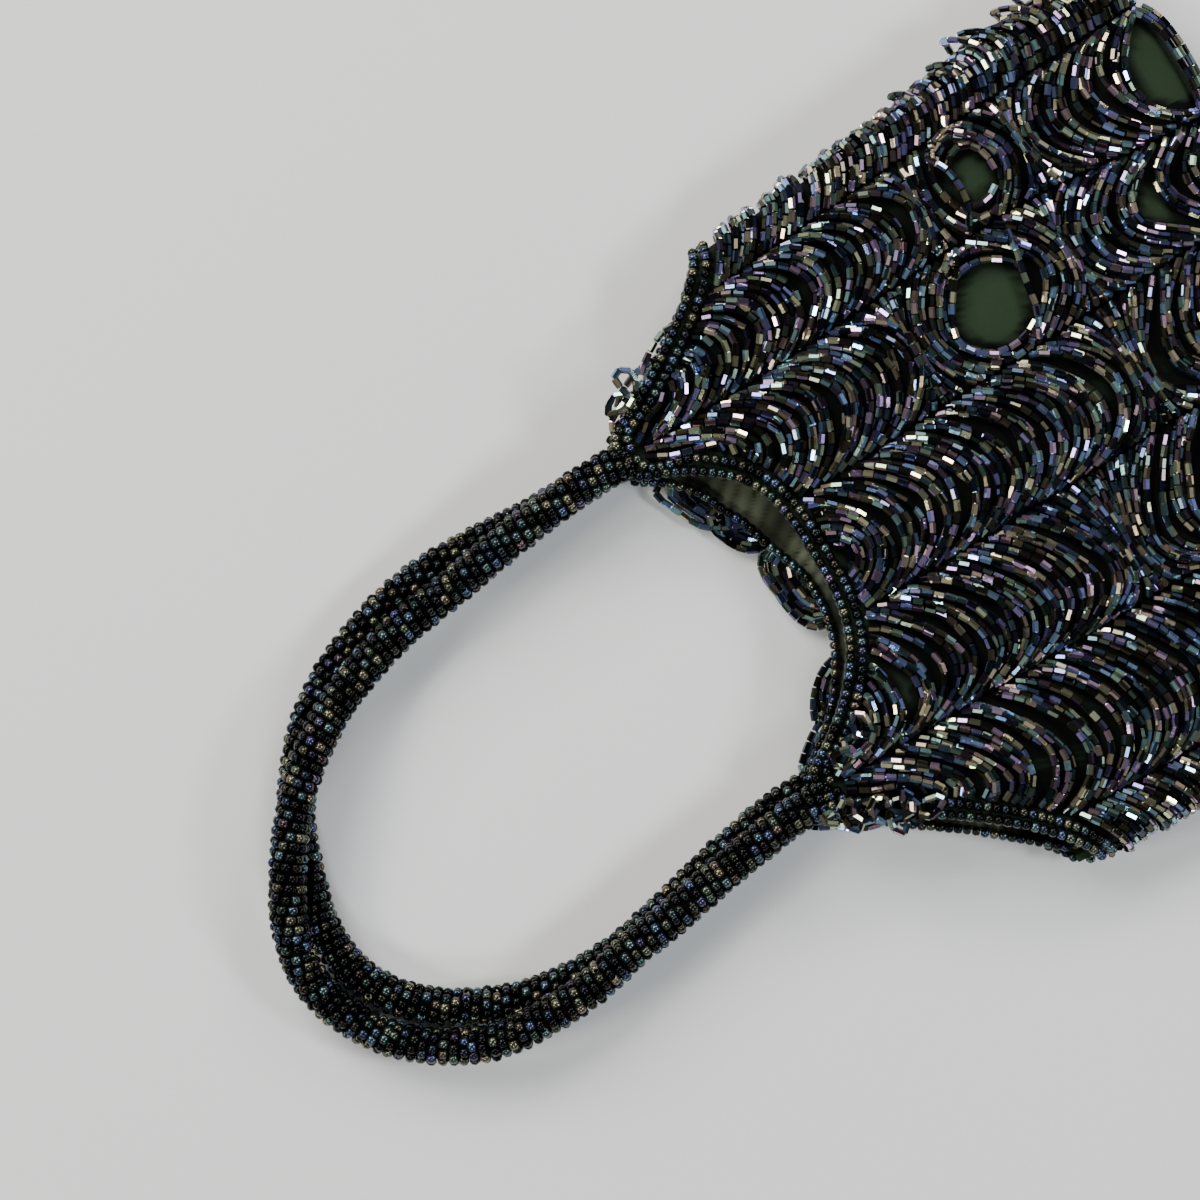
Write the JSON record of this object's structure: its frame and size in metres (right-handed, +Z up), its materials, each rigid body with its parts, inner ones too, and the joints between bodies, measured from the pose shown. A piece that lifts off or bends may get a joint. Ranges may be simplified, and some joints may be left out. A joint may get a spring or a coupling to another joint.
{
  "type": "beaded evening bag",
  "caption": "Small soft evening bag with nested bead swags over satin, a crown-shaped beaded opening and a twisted bead-rope handle, lying on its back.",
  "frame": {"origin": "on the surface the bag lies on, under the middle column of the pouch, on the flat underside of the back swags", "axes": "+Z up, from the back of the bag to its front; +Y along the bag from its foot to its handle; +X to the right of the front"},
  "size_m": [0.1687, 0.2653, 0.0217],
  "materials": {
    "satin": "dark green satin with a soft sheen",
    "lining": "olive green lining cloth, slightly wrinkled",
    "hex_beads": "dark metallic iris glass, faceted, with blue, green, gold and purple glints",
    "seed_beads": "dark glossy iris glass, round, with blue, green, gold and purple glints"
  },
  "bodies": {
    "root": {"front_panel": "satin", "back_panel": "satin", "lining_front": "lining", "lining_back": "lining", "swags_front_1": "hex_beads", "swags_front_2": "hex_beads", "swags_front_3": "hex_beads", "swags_front_4": "hex_beads", "swags_front_5": "hex_beads", "swags_front_6": "hex_beads", "swags_front_7": "hex_beads", "swags_back_1": "hex_beads", "swags_back_2": "hex_beads", "swags_back_3": "hex_beads", "swags_back_4": "hex_beads", "swags_back_5": "hex_beads", "swags_back_6": "hex_beads", "swags_back_7": "hex_beads", "trim_mouth_front": "seed_beads", "trim_left_front": "seed_beads", "trim_right_front": "seed_beads", "trim_mouth_back": "seed_beads", "trim_left_back": "seed_beads", "trim_right_back": "seed_beads", "handle_rope_1": "seed_beads", "handle_rope_2": "seed_beads"}
  },
  "joints": []
}
